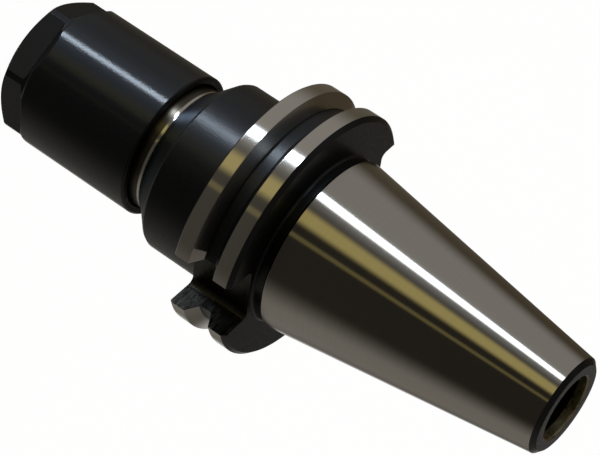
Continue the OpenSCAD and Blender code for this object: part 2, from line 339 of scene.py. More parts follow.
def turned_piece(name, points):
    """Spins a closed section round the axis, and breaks its sharp edges as a lathe hand does."""
    piece = section_wire(name, points)
    bpy.ops.mesh.select_all(action="SELECT")
    bpy.ops.mesh.spin(steps=TURNED_STEPS, angle=2 * pi, center=(0, 0, 0), axis=(0, 0, 1))
    bpy.ops.mesh.select_all(action="SELECT")
    bpy.ops.mesh.remove_doubles(threshold=MERGE)
    bpy.ops.mesh.normals_make_consistent(inside=False)
    bpy.ops.object.mode_set(mode="OBJECT")
    bevel_sharp(piece, SMALL_EDGE, angle=radians(25))
    return piece


def close_ends():
    """Fills the open ends of a swept section in edit mode, turns its faces outwards and leaves the mode."""
    bpy.ops.mesh.select_all(action="DESELECT")
    bpy.ops.mesh.select_mode(type="EDGE")
    bpy.ops.mesh.select_non_manifold()
    bpy.ops.mesh.fill_holes(sides=0)
    bpy.ops.mesh.select_all(action="SELECT")
    bpy.ops.mesh.normals_make_consistent(inside=False)
    bpy.ops.mesh.select_mode(type="VERT")
    bpy.ops.object.mode_set(mode="OBJECT")


def helix_cutter(name, points, pitch, turns):
    """Sweeps a closed section up a right-hand helix and caps its ends."""
    cutter = section_wire(name, points)
    bpy.ops.object.mode_set(mode="OBJECT")
    steps = {"steps": THREAD_STEPS, "render_steps": THREAD_STEPS}
    apply(cutter, "SCREW", axis="Z", angle=2 * pi, screw_offset=pitch, iterations=turns, **steps)
    bpy.ops.object.mode_set(mode="EDIT")
    close_ends()
    return cutter


def slit_cutter(low, high, hole_height, sizes):
    """Blade for one collet slit, with the drill for the relief hole at its closed end."""
    start, reach, half = sizes.bore_dia / 4, sizes.collet_dia / 2 + CLEAR, sizes.slit_w / 2
    blade = block("slit_cutter", (start, -half, low), (reach, half, high))
    bpy.ops.object.select_all(action="DESELECT")
    bpy.ops.mesh.primitive_cylinder_add(
        vertices=DRILL_STEPS, radius=sizes.slit_hole / 2, depth=reach - start
    )
    drill = bpy.context.object
    place = Matrix.Translation(((start + reach) / 2, 0, hole_height))
    drill.data.transform(place @ Matrix.Rotation(pi / 2, 4, "Y"))
    apply(blade, "BOOLEAN", operation="UNION", solver="EXACT", object=drill)
    bpy.data.objects.remove(drill, do_unlink=True)
    return blade


def thread_section(open_r, deep_r, height, pitch):
    """Four corners of a 60 degree thread groove, open at one radius and deep at the other."""
    root_flat = pitch / 8
    flare = abs(open_r - deep_r) * FLANK
    return [
        (open_r, height - root_flat / 2 - flare),
        (deep_r, height - root_flat / 2),
        (deep_r, height + root_flat / 2),
        (open_r, height + root_flat / 2 + flare),
    ]


def cut_away(piece, cutter, finish):
    """Takes a cutter out of a piece, gives the new faces their finish, and deletes the cutter."""
    for material in piece.data.materials:
        cutter.data.materials.append(material)
    for face in cutter.data.polygons:
        face.material_index = finish
    apply(piece, "BOOLEAN", operation="DIFFERENCE", solver="EXACT", object=cutter)
    bpy.data.objects.remove(cutter, do_unlink=True)


def select_edges(piece, wanted):
    """Selects the edges for which wanted(edge) holds, in edit mode."""
    activate(piece)
    bpy.ops.object.mode_set(mode="EDIT")
    bpy.ops.mesh.select_mode(type="EDGE")
    bpy.ops.mesh.select_all(action="DESELECT")
    mesh = bmesh.from_edit_mesh(piece.data)
    for edge in mesh.edges:
        if wanted(edge):
            edge.select_set(True)
    bmesh.update_edit_mesh(piece.data)


def break_edges(piece, finish, width):
    """Breaks the edges that run round the faces of one finish."""

    def on_rim(edge):
        faces = edge.link_faces
        return len(faces) == 2 and sum(face.material_index == finish for face in faces) == 1

    select_edges(piece, on_rim)
    bpy.ops.mesh.bevel(offset=width, segments=EDGE_STEPS, affect="EDGES", clamp_overlap=True)
    bpy.ops.mesh.select_mode(type="VERT")
    bpy.ops.object.mode_set(mode="OBJECT")


def block(name, low, high):
    """A block from corner to corner, shaped in edit mode."""
    bpy.ops.object.select_all(action="DESELECT")
    bpy.ops.mesh.primitive_cube_add(size=1)
    piece = bpy.context.object
    piece.name = piece.data.name = name
    bpy.ops.object.mode_set(mode="EDIT")
    bpy.ops.transform.resize(value=[b - a for a, b in zip(low, high)])
    bpy.ops.transform.translate(value=[(a + b) / 2 for a, b in zip(low, high)])
    bpy.ops.object.mode_set(mode="OBJECT")
    return piece


def turn_round(piece, angle):
    """Turns a finished cutter about the axis, with its place kept in its mesh."""
    piece.data.transform(Matrix.Rotation(angle, 4, "Z"))


def slot_cutter(bottom, sizes, low, high):
    """Block for one drive slot, with its two inner corners rounded."""
    half = sizes.slot_w / 2
    cutter = block("slot_cutter", (bottom, -half, low), (sizes.flange_dia / 2 + CLEAR, half, high))

    def inner_corner(edge):
        first, second = edge.verts
        upright = abs(first.co.y - second.co.y) < SMALL_EDGE
        return upright and all(abs(vert.co.x - bottom) < SMALL_EDGE for vert in edge.verts)

    select_edges(cutter, inner_corner)
    bpy.ops.mesh.bevel(offset=sizes.slot_fillet, segments=SLOT_STEPS, affect="EDGES")
    bpy.ops.object.mode_set(mode="OBJECT")
    return cutter


def flat_cutter(sizes):
    """Block for one wrench flat, bisected to the sloped run-out that the milling cutter leaves."""
    apothem, half = sizes.wrench_af / 2, sizes.nut_dia / 2
    reach = half + CLEAR
    cutter = block("flat_cutter", (apothem, -half, -CLEAR), (reach, half, sizes.flat_len + reach - apothem))
    bpy.ops.object.mode_set(mode="EDIT")
    bpy.ops.mesh.select_all(action="SELECT")
    bpy.ops.mesh.bisect(
        plane_co=(apothem, 0, sizes.flat_len), plane_no=(-1, 0, 1), use_fill=True, clear_outer=True
    )
    bpy.ops.mesh.select_all(action="SELECT")
    bpy.ops.mesh.normals_make_consistent(inside=False)
    bpy.ops.object.mode_set(mode="OBJECT")
    return cutter


def finish_faces(piece, rule):
    """Gives each face the finish that rule(radius, height, radial part of its normal) returns."""
    for face in piece.data.polygons:
        x, y, z = face.center
        r = hypot(x, y)
        outward = (face.normal.x * x + face.normal.y * y) / r
        face.material_index = rule(r, z, outward)


def smooth(piece):
    """Smooth shading that keeps sharp edges, with large faces left flat up to their edges."""
    activate(piece)
    bpy.ops.object.shade_smooth_by_angle(angle=SHARP)
    apply(piece, "WEIGHTED_NORMAL", keep_sharp=True)


# Finishes

TIMES = {"operation": "MULTIPLY"}
COLOUR_LOW, COLOUR_HIGH, COLOUR_OUT = 6, 7, 2  # sockets of a Mix node that mixes colours


def add_node(tree, kind, settings=None, values=None, links=None):
    """Adds a node, sets its attributes and input values, and links its inputs from other nodes' outputs."""
    node = tree.nodes.new(kind)
    for key, value in (settings or {}).items():
        setattr(node, key, value)
    for key, value in (values or {}).items():
        node.inputs[key].default_value = value
    for key, output in (links or {}).items():
        tree.links.new(output, node.inputs[key])
    return node


def new_material(name):
    """A material with an empty node tree."""
    material = bpy.data.materials.new(name)
    material.use_nodes = True
    material.node_tree.nodes.clear()
    return material, material.node_tree


def lathe_marks(tree, across_mm, along_mm):
    """Noise drawn out round the axis, in lines as far apart as across_mm."""
    place = add_node(tree, "ShaderNodeTexCoord")
    split = add_node(tree, "ShaderNodeSeparateXYZ", links={0: place.outputs["Object"]})
    scaled = {}
    for i, (axis, size) in enumerate((("X", along_mm), ("Y", along_mm), ("Z", across_mm))):
        links = {0: split.outputs[axis]}
        scaled[i] = add_node(tree, "ShaderNodeMath", TIMES, {1: 1 / (size * MM)}, links).outputs[0]
    joined = add_node(tree, "ShaderNodeCombineXYZ", links=scaled)
    noise = {"Scale": 1.0, "Detail": 2.0, "Roughness": 0.6}
    return add_node(tree, "ShaderNodeTexNoise", values=noise, links={"Vector": joined.outputs[0]})


def steel(
    name, colour, roughness, mark_mm, stretch, depth_mm, colour_play, gloss_play,
    metallic=1.0, anisotropic=0.0, coat=0.0, coat_roughness=0.0,
):
    """Worked steel. Its marks play in colour, gloss and height, and are stretched round the axis."""
    material, tree = new_material(name)
    marks = lathe_marks(tree, mark_mm, stretch * mark_mm).outputs["Fac"]
    low = tuple(c * (1 - colour_play) for c in colour) + (1,)
    high = tuple(min(1, c * (1 + colour_play)) for c in colour) + (1,)
    tones = {COLOUR_LOW: low, COLOUR_HIGH: high}
    tone = add_node(tree, "ShaderNodeMix", {"data_type": "RGBA"}, tones, {0: marks})
    # Most of the noise lies between 0.3 and 0.7.
    span = {
        "From Min": 0.3,
        "From Max": 0.7,
        "To Min": roughness - gloss_play,
        "To Max": roughness + gloss_play,
    }
    gloss = add_node(tree, "ShaderNodeMapRange", values=span, links={"Value": marks})
    height = {"Strength": 1.0, "Distance": depth_mm * MM}
    bump = add_node(tree, "ShaderNodeBump", values=height, links={"Height": marks})
    tangent = add_node(tree, "ShaderNodeTangent", {"direction_type": "RADIAL", "axis": "Z"})
    shader = add_node(
        tree,
        "ShaderNodeBsdfPrincipled",
        values={
            "Metallic": metallic,
            "Anisotropic": anisotropic,
            "Anisotropic Rotation": 0.25,
            "Coat Weight": coat,
            "Coat Roughness": coat_roughness,
        },
        links={
            "Base Color": tone.outputs[COLOUR_OUT],
            "Roughness": gloss.outputs[0],
            "Normal": bump.outputs[0],
            "Tangent": tangent.outputs[0],
            "Coat Normal": bump.outputs[0],
        },
    )
    add_node(tree, "ShaderNodeOutputMaterial", links={"Surface": shader.outputs[0]})


# Real marks of grinding, turning, milling and sawing lie 0.02 to 0.1 mm apart, and the crystals of oxide
# and phosphate are finer. None shows at four pixels a millimetre, so all are drawn 0.2 to 1.2 mm apart.


def make_holder_steels(kit):
    """The steels that show on the holder's outside and in its bores."""
    # Hardened and ground: bright, sharp round the axis and smeared along it, as its marks run round it.
    steel(
        "ground_steel", kit.ground, kit.ground_gloss, anisotropic=0.95,
        mark_mm=0.35, stretch=40, depth_mm=0.0001, colour_play=0.05, gloss_play=0.004,
    )
    # Black oxide on turned steel, with little oil: nearly black, with a wide, low and grainy gloss.
    steel(
        "dry_black_oxide", kit.oxide, kit.oxide_gloss, coat=0.54, coat_roughness=0.24,
        mark_mm=0.45, stretch=1.0, depth_mm=0.025, colour_play=0.3, gloss_play=0.08,
    )
    # Black oxide on coarse turning, dry: each mark is a small mirror, so a lamp smears along the shoulder.
    steel(
        "coarse_turned_oxide", kit.shoulder, 0.34, anisotropic=1.0,
        mark_mm=0.35, stretch=40, depth_mm=0.0005, colour_play=0.15, gloss_play=0.04,
    )
    # Black oxide on end-milled steel, dry: dark grey and blotched, from the cutter's crossing marks.
    steel(
        "end_milled_oxide", kit.slot, 0.36,
        mark_mm=0.7, stretch=4, depth_mm=0.04, colour_play=0.7, gloss_play=0.12,
    )
    # Black oxide rubbed thin by the nut, dim and brownish: steel shows through it, and it is darkened
    # further as painted shade from the nut next to it.
    steel(
        "rubbed_oxide_and_painted_shade", kit.worn_and_shaded, 0.32, anisotropic=0.7,
        mark_mm=0.35, stretch=30, depth_mm=0.0002, colour_play=0.2, gloss_play=0.04,
    )
    # Oiled mouth of the bore: brownish steel, blotched and half dull, and lighter than the steel further in
    # as a painted glint.
    steel(
        "bore_mouth_painted_glint", kit.bore, 0.34, metallic=0.7,
        mark_mm=1.2, stretch=2, depth_mm=0.03, colour_play=0.75, gloss_play=0.12,
    )
    # The same steel further in, darkened as painted shade inside the bore.
    steel(
        "bore_steel_painted_shade", kit.deep, 0.4,
        mark_mm=0.4, stretch=20, depth_mm=0.002, colour_play=0.2, gloss_play=0.06,
    )


def make_nut_and_inner_steels(kit):
    """The steels of the nut and of the pieces in it."""
    # Black oxide on turned steel, under a film of oil: nearly black, with a clear, faintly grainy gloss.
    steel(
        "turned_black_oxide", kit.oxide, kit.oxide_gloss, coat=0.55, coat_roughness=0.10,
        mark_mm=0.45, stretch=1.0, depth_mm=0.016, colour_play=0.3, gloss_play=0.08,
    )
    # Black oxide on milled steel, as on wrench flats: the same black, flatter, with a thinner film of oil.
    steel(
        "milled_black_oxide", kit.oxide, kit.oxide_gloss, coat=0.3, coat_roughness=0.25,
        mark_mm=0.5, stretch=3, depth_mm=0.02, colour_play=0.15, gloss_play=0.05,
    )
    # Ground spring steel of the collet: bright, with a softer streak than the holder's.
    steel(
        "ground_collet_steel", kit.collet, 0.2, anisotropic=0.7,
        mark_mm=0.25, stretch=40, depth_mm=0.0005, colour_play=0.05, gloss_play=0.02,
    )
    # Sawn walls of the collet's slits: dull, with oil left in them.
    steel(
        "sawn_slit_steel", kit.slit, 0.45,
        mark_mm=0.3, stretch=3, depth_mm=0.002, colour_play=0.2, gloss_play=0.06,
    )
    # Hardened ring, ground: half bright and faintly stained.
    steel(
        "hardened_ring_steel", kit.ring, 0.26, anisotropic=0.7,
        mark_mm=0.3, stretch=40, depth_mm=0.0005, colour_play=0.1, gloss_play=0.03,
    )
    # Manganese phosphate: dull, dark grey and slightly grainy.
    steel(
        "phosphated_spring_steel", kit.spring, 0.45,
        mark_mm=0.2, stretch=2, depth_mm=0.001, colour_play=0.15, gloss_play=0.05,
    )


def give_finishes(piece, *names):
    """Gives a piece its finishes, which are made the first time that any is asked for."""
    made = bpy.data.materials
    if names[0] not in made:
        kit = bpy.context.scene.chuck_finishes
        make_holder_steels(kit)
        make_nut_and_inner_steels(kit)
    for name in names:
        piece.data.materials.append(made[name])


# Pieces


class CHUCK_OT_holder(bpy.types.Operator):
    """Turn the holder's body, mill its drive slots and cut its threads"""

    bl_idname = "chuck.holder"
    bl_label = "Holder body"

    def execute(self, context):
        scene = context.scene
        shank, flange, nose = scene.chuck_shank, scene.chuck_flange, scene.chuck_nose
        gauge_r = shank.gauge_dia / 2
        z_gauge = shank.gauge_height
        z_end = SMALL_END
        end_r = gauge_r - (z_end - z_gauge) * TAPER_RATE / 2
        flange_r = flange.flange_dia / 2
        z_rear = z_gauge - flange.gauge_gap
        z_front = z_rear - flange.flange_w
        z_groove = z_rear - flange.groove_offset
        relief_r = gauge_r - flange.relief_depth
        body_r, neck_r = nose.body_dia / 2, nose.neck_dia / 2
        z_body = z_front - nose.body_len
        z_neck = z_body - (body_r - neck_r)
        neck_lead = nose.neck_fillet * tan(SHOULDER / 2)
        land, overrun = 0.3 * MM, 0.8 * MM
        neck_end, grind_end = z_neck - neck_lead - land, z_neck - neck_lead + overrun
        crest_r, root_r = nose.crest_dia / 2, nose.root_dia / 2
        z_thread_end = nose.neck_front - nose.runout_w
        z_end_chamfer = z_end - shank.end_chamfer
        climbs = [(z_end_chamfer - z_gauge) * i / TAPER_STEPS for i in range(TAPER_STEPS + 1)]
        bottom_r = flange_r - flange.groove_depth
        fillet, root = flange.groove_fillet, flange.relief_fillet
        bottom_half = flange.groove_w / 2 - flange.groove_depth * FLANK - fillet * FLANK
        outside = [
            (crest_r - nose.nose_chamfer, nose.nose_front),
            (crest_r, nose.nose_front + nose.nose_chamfer),
            (crest_r, z_thread_end - THREAD_LEAD),
            (root_r - ROOT_RELIEF, z_thread_end),
            (root_r - ROOT_RELIEF, nose.neck_front),
            (neck_r - CHAMFER, nose.neck_front),
            (neck_r, nose.neck_front + CHAMFER),
            (neck_r, neck_end),
            *arc((neck_r + nose.neck_fillet, z_neck - neck_lead), nose.neck_fillet, 180, 135),
            (body_r - nose.body_edge, z_body - nose.body_edge),
            (body_r, z_body + nose.body_edge),
            (body_r, z_front),
            (flange_r - flange.front_chamfer, z_front),
            (flange_r, z_front + flange.front_chamfer),
            (flange_r, z_groove - flange.groove_w / 2),
            *arc((bottom_r + fillet, z_groove - bottom_half), fillet, 240, 180),
            *arc((bottom_r + fillet, z_groove + bottom_half), fillet, 180, 120),
            (flange_r, z_groove + flange.groove_w / 2),
            (flange_r, z_rear - flange.rear_chamfer),
            (flange_r - flange.rear_chamfer, z_rear),
            *arc((relief_r + root, z_rear + root), root, 270, 180),
            (relief_r, z_gauge - flange.relief_depth),
            *[(gauge_r - climb * TAPER_RATE / 2, z_gauge + climb) for climb in climbs],
            (end_r - shank.end_chamfer, z_end),
        ]
        pilot_r, knob_r, coolant_r = shank.pilot_dia / 2, shank.knob_minor / 2, shank.coolant_dia / 2
        knob_major_r, knob_lead = shank.knob_major / 2, 1.1 * MM
        z_pilot_end, z_knob_end = z_end - shank.pilot_depth, z_end - shank.knob_depth
        inside = [
            (pilot_r + CHAMFER, z_end),
            (pilot_r, z_end - CHAMFER),
            (pilot_r, z_end - BORE_MOUTH),
            (pilot_r, z_pilot_end),
            (knob_major_r + OVERCUT, z_pilot_end),
            (knob_r, z_pilot_end - knob_lead),
            (knob_r, z_knob_end),
            (coolant_r, z_knob_end - (knob_r - coolant_r) / DRILL_POINT),
            (coolant_r, STOP_BORE_END + (STOP_BORE_R - coolant_r) / DRILL_POINT),
            (STOP_BORE_R, STOP_BORE_END),
            (STOP_BORE_R, SOCKET_END),
            (SOCKET_REAR_R, SOCKET_END),
            (SOCKET_FRONT_R, nose.nose_front),
        ]
        piece = turned_piece("holder_shell", outside + inside)
        ground, turned, milled, bore, deep, worn_and_shaded, coarse = range(7)
        give_finishes(
            piece, "ground_steel", "dry_black_oxide", "end_milled_oxide", "bore_mouth_painted_glint",
            "bore_steel_painted_shade", "rubbed_oxide_and_painted_shade", "coarse_turned_oxide",
        )
        tiny, off_bottom = 0.02 * MM, 0.5 * MM
        faces_axis, faces_out = -0.3, 0.5
        groove_low, groove_high = z_groove - flange.groove_w / 2, z_groove + flange.groove_w / 2

        def rule(r, z, outward):
            """The finish of a face of the turned piece."""
            # Bore faces: lighter near the mouth as a painted glint, darker deeper in as painted shade.
            if r < end_r - shank.end_chamfer and outward < faces_axis or r < pilot_r - tiny:
                return bore if z > z_end - BORE_MOUTH else deep
            if z_gauge - tiny < z < z_end_chamfer and outward > faces_out:
                return ground
            on_flange = z_front + flange.front_chamfer < z < z_rear - flange.rear_chamfer
            if on_flange and r > bottom_r + off_bottom:
                if not groove_low < z < groove_high or z < z_groove - bottom_half:
                    return ground
            # The neck: rubbed oxide, darkened as painted shade from the nut.
            if nose.neck_front < z < neck_end:
                return worn_and_shaded
            if nose.neck_front < z < grind_end:
                return ground
            if nose.neck_front < z < z_body - nose.body_edge:
                return coarse
            return turned

        finish_faces(piece, rule)
        for bottom, angle in ((flange.slot_deep, 0), (flange.slot_shallow, pi)):
            cutter = slot_cutter(bottom, flange, z_front - CLEAR, z_rear + CLEAR)
            turn_round(cutter, angle)
            cut_away(piece, cutter, milled)
        slot_edge, knob_overcut, knob_reach = 0.15 * MM, 0.2 * MM, 25 * MM
        break_edges(piece, milled, slot_edge)
        z_low = z_pilot_end - knob_reach
        thread = thread_section(knob_r - knob_overcut, knob_major_r, z_low, shank.knob_pitch)
        # The knob thread's new faces take the bore's painted shade.
        cut_away(piece, helix_cutter("knob_thread", thread, shank.knob_pitch, KNOB_TURNS), deep)
        start = nose.nose_front - nose.pitch
        turns = ceil((z_thread_end - start) / nose.pitch)
        thread = thread_section(crest_r + OVERCUT, root_r, start, nose.pitch)
        cut_away(piece, helix_cutter("nose_thread", thread, nose.pitch, turns), turned)
        smooth(piece)
        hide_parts("holder_body")
        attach(piece, "holder")
        return {"FINISHED"}


class CHUCK_OT_nut(bpy.types.Operator):
    """Turn the nut, mill its wrench flats and cut its thread"""

    bl_idname = "chuck.nut"
    bl_label = "Clamp nut"

    def execute(self, context):
        nut, nose = context.scene.chuck_nut, context.scene.chuck_nose
        face_inset = 0.2 * MM
        nut_r, face_r = nut.nut_dia / 2, nut.wrench_af / 2 - face_inset
        corner_r = nut_r - nut.hex_step
        crest_r, root_r, rear_r = nut.crest_dia / 2, nut.root_dia / 2, nut.rear_bore / 2
        relief_r = root_r + ROOT_RELIEF
        z_rear_bore = NUT_TOP - nut.rear_depth
        z_thread = nut.step_height + THREAD_LEAD
        section = [
            (face_r, 0),
            (corner_r, (corner_r - face_r) * FLANK),
            (corner_r, nut.hex_shoulder - nut.hex_step),
            (nut_r, nut.hex_shoulder),
            (nut_r, NUT_TOP - nut.rear_chamfer),
            (nut_r - nut.rear_chamfer, NUT_TOP),
            (rear_r + CHAMFER, NUT_TOP),
            (rear_r, NUT_TOP - CHAMFER),
            (rear_r, z_rear_bore),
            (relief_r, z_rear_bore),
            (crest_r, z_rear_bore - THREAD_LEAD),
            (crest_r, z_thread),
            (relief_r, z_thread),
            (relief_r, nut.step_height),
            (SEAT_R, nut.step_height),
            (SEAT_R, SNAP_GROOVE_HIGH),
            (SNAP_GROOVE_R, SNAP_GROOVE_HIGH),
            (SNAP_GROOVE_R, SNAP_GROOVE_LOW),
            (SEAT_R, SNAP_GROOVE_LOW),
            (SEAT_R, NUT_LIP),
            (LIP_R, NUT_LIP),
            (LIP_R, CHAMFER),
            (LIP_R + CHAMFER, 0),
        ]
        piece = turned_piece("nut_shell", section)
        turned, milled = range(2)
        give_finishes(piece, "turned_black_oxide", "milled_black_oxide")
        for i in range(HEX_SIDES):
            cutter = flat_cutter(nut)
            turn_round(cutter, 2 * pi * i / HEX_SIDES)
            cut_away(piece, cutter, milled)
        break_edges(piece, milled, SMALL_EDGE)
        # The nut's thread starts half a pitch above the nose's, so its crests lie in the nose's roots.
        start = nose.nose_front - nose.pitch + nose.pitch / 2
        turns = ceil((z_rear_bore - start) / nose.pitch)
        thread = thread_section(crest_r - OVERCUT, root_r, start, nose.pitch)
        cut_away(piece, helix_cutter("nut_thread", thread, nose.pitch, turns), turned)
        smooth(piece)
        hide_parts("clamp_nut")
        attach(piece, "nut")
        return {"FINISHED"}


class CHUCK_OT_collet(bpy.types.Operator):
    """Turn the double angle collet and saw its slits from both ends"""

    bl_idname = "chuck.collet"
    bl_label = "Collet"

    def execute(self, context):
        sizes = context.scene.chuck_inner
        face_r, rear_r = sizes.face_dia / 2, sizes.rear_dia / 2
        wide_r, bore_r = sizes.collet_dia / 2, sizes.bore_dia / 2
        z_face = sizes.face_height
        z_rear = z_face + sizes.collet_len
        z_cone = z_face + (wide_r - face_r) / FLANK
        edge, slit_edge = 0.3 * MM, 0.08 * MM
        piece = turned_piece(
            "collet_shell",
            [
                (bore_r + edge, z_face),
                (face_r, z_face),
                (wide_r, z_cone),
                (wide_r, z_cone + sizes.band),
                (rear_r, z_rear - CHAMFER),
                (rear_r - CHAMFER, z_rear),
                (bore_r + edge, z_rear),
                (bore_r, z_rear - edge),
                (bore_r, z_face + edge),
            ],
        )
        sawn = 1
        give_finishes(piece, "ground_collet_steel", "sawn_slit_steel")
        z_high, z_low = z_rear - sizes.slit_land, z_face + sizes.slit_land
        from_front = slit_cutter(z_face - CLEAR, z_high, z_high, sizes)
        from_rear = slit_cutter(z_low, z_rear + CLEAR, z_low, sizes)
        turn_round(from_rear, pi / SLITS)
        blades = [from_front, from_rear]
        for i in range(1, SLITS):
            for blade in (from_front, from_rear):
                other = copied(blade)
                turn_round(other, 2 * pi * i / SLITS)
                blades.append(other)
        cutter = join_all(blades)
        turn_round(cutter, sizes.slit_turn)
        cut_away(piece, cutter, sawn)
        break_edges(piece, sawn, slit_edge)
        smooth(piece)
        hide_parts("collet")
        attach(piece, "collet_set")
        return {"FINISHED"}


class CHUCK_OT_rings(bpy.types.Operator):
    """Turn the thrust ring and form the snap ring that keeps it in the nut"""

    bl_idname = "chuck.rings"
    bl_label = "Thrust and snap rings"

    def execute(self, context):
        sizes = context.scene.chuck_inner
        ring_r, boss_r, recess = sizes.ring_dia / 2, sizes.boss_dia / 2, sizes.ring_recess
        gap = FIT / cos(HALF_V)
        cone_r, mouth_r = sizes.collet_dia / 2 + gap, sizes.face_dia / 2 + gap
        z_shelf = NUT_LIP + FIT
        z_back = z_shelf + sizes.ring_t
        z_cone = sizes.face_height + (cone_r - mouth_r) / FLANK
        ring = turned_piece(
            "thrust_ring_shell",
            [
                (boss_r - CHAMFER, recess),
                (boss_r, recess + CHAMFER),
                (boss_r, z_shelf),
                (ring_r - CHAMFER, z_shelf),
                (ring_r, z_shelf + CHAMFER),
                (ring_r, z_back - CHAMFER),
                (ring_r - CHAMFER, z_back),
                (cone_r, z_back),
                (cone_r, z_cone),
                (mouth_r, sizes.face_height),
                (mouth_r, recess),
            ],
        )
        give_finishes(ring, "hardened_ring_steel")
        smooth(ring)
        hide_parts("thrust_ring")
        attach(ring, "collet_set")
        snap_edge = 0.15 * MM
        outer, low = SNAP_GROOVE_R - FIT, z_back + 2 * FIT
        inner, high = outer - sizes.snap_w, low + sizes.snap_t
        corners = [(inner, low), (outer, low), (outer, high), (inner, high)]
        snap = section_wire("snap_ring_shell", corners)
        bpy.ops.mesh.select_all(action="SELECT")
        bpy.ops.mesh.spin(steps=SNAP_STEPS, angle=2 * pi - SNAP_GAP, center=(0, 0, 0), axis=(0, 0, 1))
        close_ends()
        give_finishes(snap, "phosphated_spring_steel")
        bevel_sharp(snap, snap_edge, angle=radians(40))
        smooth(snap)
        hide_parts("snap_ring")
        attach(snap, "nut")
        return {"FINISHED"}


class CHUCK_OT_stop(bpy.types.Operator):
    """Turn the stop screw, cut its thread and its hexagon socket"""

    bl_idname = "chuck.stop"
    bl_label = "Stop screw"

    def execute(self, context):
        sizes = context.scene.chuck_inner
        behind_collet, socket_depth, spare_turns = 5 * MM, 7 * MM, 2
        lead, hole_edge, mouth = 1 * MM, 0.3 * MM, 0.2 * MM
        low = sizes.face_height + sizes.collet_len + behind_collet
        high = low + sizes.stop_len
        crest_r, hole_r = sizes.stop_dia / 2, sizes.stop_hole / 2
        socket_r = sizes.stop_socket / 2 / cos(pi / HEX_SIDES)
        mouth_r = socket_r + mouth
        socket_low, socket_high = high - socket_depth, high + CLEAR
        piece = turned_piece(
            "stop_screw_shell",
            [
                (hole_r + hole_edge, low),
                (crest_r - lead, low),
                (crest_r, low + lead),
                (crest_r, high - lead),
                (crest_r - lead, high),
                (mouth_r, high),
                (hole_r, high - (mouth_r - hole_r)),
                (hole_r, low + hole_edge),
            ],
        )
        milled, turned = range(2)
        give_finishes(piece, "milled_black_oxide", "turned_black_oxide")
        bpy.ops.object.select_all(action="DESELECT")
        bpy.ops.mesh.primitive_cylinder_add(
            vertices=HEX_SIDES, radius=socket_r, depth=socket_high - socket_low
        )
        socket = bpy.context.object
        socket.data.transform(Matrix.Translation((0, 0, (socket_high + socket_low) / 2)))
        cut_away(piece, socket, milled)
        pitch = sizes.stop_pitch
        turns = ceil(sizes.stop_len / pitch) + spare_turns
        thread = thread_section(crest_r + OVERCUT, crest_r - METRIC_DEPTH * pitch, low - pitch, pitch)
        cut_away(piece, helix_cutter("stop_thread", thread, pitch, turns), turned)
        smooth(piece)
        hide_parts("stop_screw")
        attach(piece, "stop")
        return {"FINISHED"}


# Studio

FLOOR_SIZE = 6
FLOOR_DROP = 0.02 * MM
FLOOR_OWN_LIGHT = 0.85
DEGREES = 180 / pi

# What the steel mirrors. Each card has its azimuth, half width and soft edge, its elevation, half height
# and soft edge, all in degrees, and its colour in linear light.
ROOM = (0.020, 0.018, 0.014)
WHITE_BACKDROP = (122, 8, 14, -50, 52, 20, (0.43, 0.43, 0.43))
CARDS = (
    WHITE_BACKDROP,
    (-128, 22, 35, -20, 60, 20, (0.25, 0.242, 0.232)),  # grey wall behind the camera
    (66, 12, 45, -20, 60, 20, (0.185, 0.176, 0.160)),  # grey wall beside the set
    (158, 12, 40, -20, 60, 20, (0.050, 0.038, 0.022)),  # brown doorway
    (-69.5, 4, 9, -20, 60, 20, (0.40, 0.335, 0.125)),  # brass coloured screen
    (-45.5, 1.5, 2, -20, 60, 20, (0.12, 0.10, 0.035)),  # the edge of that screen
    (0, 180, 1, 90, 30, 25, (0.10, 0.095, 0.085)),  # ceiling
    (0, 180, 1, -90, 66, 14, (0.06, 0.057, 0.05)),  # grey table
)
STRIPS = (
    (-101.5, 2.5, 2, -32, 17, 8, (0.86, 1.0, 1.17)),
    (-99.5, 3, 3, -3, 10, 8, (0.14, 0.15, 0.16)),  # its dimmer upper end, mirrored in the taper
)


def within(tree, angle, centre, half, soft):
    """1 where an angle in degrees is within half of centre, falling to 0 over soft."""
    offset = add_node(tree, "ShaderNodeMath", {"operation": "SUBTRACT"}, {1: centre}, {0: angle})
    turn = {1: 180.0, 2: -180.0}
    wrapped = add_node(tree, "ShaderNodeMath", {"operation": "WRAP"}, turn, {0: offset.outputs[0]})
    size = add_node(tree, "ShaderNodeMath", {"operation": "ABSOLUTE"}, links={0: wrapped.outputs[0]})
    fall = {"From Min": half, "From Max": half + soft, "To Min": 1.0, "To Max": 0.0}
    smooth_step = {"interpolation_type": "SMOOTHSTEP"}
    edge = add_node(tree, "ShaderNodeMapRange", smooth_step, fall, {"Value": size.outputs[0]})
    return edge.outputs[0]


def card_light(tree, azimuth, elevation, card, strength, behind):
    """Adds the light of one card to the light behind it."""
    across = within(tree, azimuth, *card[0:3])
    upright = within(tree, elevation, *card[3:6])
    seen = add_node(tree, "ShaderNodeMath", TIMES, links={0: across, 1: upright}).outputs[0]
    colour = {0: [c * strength for c in card[6]]}
    lit = add_node(tree, "ShaderNodeVectorMath", {"operation": "SCALE"}, colour, {"Scale": seen})
    both = {0: behind, 1: lit.outputs[0]}
    return add_node(tree, "ShaderNodeVectorMath", {"operation": "ADD"}, links=both).outputs[0]


